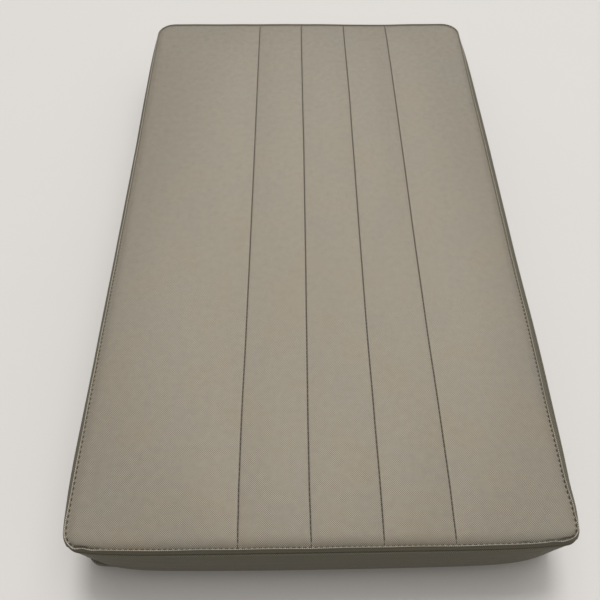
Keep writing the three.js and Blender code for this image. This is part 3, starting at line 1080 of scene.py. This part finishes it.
def plain_floor():
    """Pale matt floor, with the faintest unevenness in its paint. Periods are in metres."""
    paint = Painter("floor_paint")
    place = paint.nodes.new("ShaderNodeTexCoord").outputs["Object"]
    cloudy = paint.noise(place, 0.35)
    grain = paint.noise(place, 0.002, detail=3)
    uneven = paint.between(cloudy, 0.985, 1.015)
    shade = paint.maths("MULTIPLY", uneven, paint.between(grain, 0.985, 1.015))
    tint = paint.blend(cloudy, *FLOOR_COLOURS)
    paint.put(paint.shader.inputs["Base Color"], paint.scaled(tint, shade))
    paint.put(paint.shader.inputs["Roughness"], paint.between(grain, 0.66, 0.74))
    paint.put(paint.shader.inputs["Normal"], paint.bump(grain, 0.05))
    return paint.material


# --- Stage ---


FLOOR_SIZE = 12  # in metres
# Soft light from all round, strongest from the right and a little from the front.
ROOM_COLOUR = (1, 0.98, 0.95, 1)
ROOM_BRIGHT_SIDE = (0.9, -0.4, 0)
ROOM_DARKEST, ROOM_BRIGHTEST = 0.32, 0.64
# The photo's camera: from the middle of the stitched plan, in mm, and its turn.
CAMERA_PLACE = (-18.7, -419.45, 578)
CAMERA_TURN = (31.22, 0, -0.533)
CAMERA_LENS = 34.44


def make_floor():
    bpy.ops.mesh.primitive_plane_add(size=FLOOR_SIZE, location=(0, 0, FLOOR * MM))
    floor = bpy.context.object
    floor.name = "floor"
    floor.data.materials.append(plain_floor())


def light_turn(azimuth, elevation):
    """Turn of a light that comes from a bearing right of the back and a height."""
    a, e = math.radians(azimuth), math.radians(elevation)
    source = Vector((math.sin(a) * math.cos(e), math.cos(a) * math.cos(e), math.sin(e)))
    return (-source).to_track_quat("-Z", "Y").to_euler()


def make_light():
    world = bpy.data.worlds.new("room")
    world.use_nodes = True
    nodes, links = world.node_tree.nodes, world.node_tree.links
    direction = nodes.new("ShaderNodeTexCoord")
    across = nodes.new("ShaderNodeVectorMath")
    across.operation = "DOT_PRODUCT"
    across.inputs[1].default_value = ROOM_BRIGHT_SIDE
    links.new(direction.outputs["Generated"], across.inputs[0])
    strength = nodes.new("ShaderNodeMapRange")
    strength.inputs["From Min"].default_value = -1
    strength.inputs["From Max"].default_value = 1
    strength.inputs["To Min"].default_value = ROOM_DARKEST
    strength.inputs["To Max"].default_value = ROOM_BRIGHTEST
    links.new(across.outputs["Value"], strength.inputs["Value"])
    walls = nodes["Background"]
    walls.inputs["Color"].default_value = ROOM_COLOUR
    links.new(strength.outputs["Result"], walls.inputs["Strength"])
    bpy.context.scene.world = world
    make_lamp("window", energy=1.75, spread=60, azimuth=14, elevation=62)
    make_lamp("softbox", energy=1.6, spread=18, azimuth=2, elevation=61)


def make_lamp(name, energy, spread, azimuth, elevation):
    light = bpy.data.lights.new(name, "SUN")
    light.energy = energy
    light.angle = math.radians(spread)
    new_object(name, light).rotation_euler = light_turn(azimuth, elevation)


def make_camera():
    camera = bpy.data.cameras.new("camera")
    camera.lens = CAMERA_LENS
    camera.sensor_width = 36
    holder = new_object("camera", camera)
    x, y, z = CAMERA_PLACE
    holder.location = ((CENTRE_X + x) * MM, (CENTRE_Y + y) * MM, z * MM)
    holder.rotation_euler = Euler([math.radians(angle) for angle in CAMERA_TURN])
    bpy.context.scene.camera = holder


PANEL_COLOUR = (0.174, 0.155, 0.124)
# Colour of the boxing and underside: a slightly darker vinyl than the panel's, darkened further
# as painted shade of their shaded faces.
BOXING_COLOUR_WITH_PAINTED_SHADE = (0.101, 0.0925, 0.068)
# The thread is dark, darkened further as painted shade of its groove and needle holes.
THREAD_COLOUR_WITH_PAINTED_SHADE = (0.022, 0.019, 0.014)


def main():
    bpy.context.scene.view_settings.view_transform = "Standard"
    make_camera()
    make_light()
    make_floor()
    panel_vinyl = vinyl("panel_vinyl", PANEL_COLOUR, gloss=0.3, rough=0.3)
    boxing_vinyl = vinyl("boxing_vinyl", BOXING_COLOUR_WITH_PAINTED_SHADE, gloss=0.14, rough=0.55)
    base_vinyl = vinyl("base_vinyl", BOXING_COLOUR_WITH_PAINTED_SHADE, gloss=0.14, rough=0.5, weave=0.5)
    dark_thread = thread("thread", THREAD_COLOUR_WITH_PAINTED_SHADE)
    simulate_filling()
    panel = make_panel(panel_vinyl)
    boxing = make_boxing(boxing_vinyl)
    base = make_base(base_vinyl)
    sewn = [make(dark_thread) for make in (channel_stitches, edge_stitches, boxing_stitches)]
    for piece, slot in ((panel, "panel_vinyl"), (boxing, "boxing_vinyl"), (base, "base_vinyl")):
        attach(piece, "root")
    for piece in sewn:
        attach(piece, "root")
    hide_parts("top_panel")
    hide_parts("boxing_band")
    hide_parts("cushion_pad")


main()
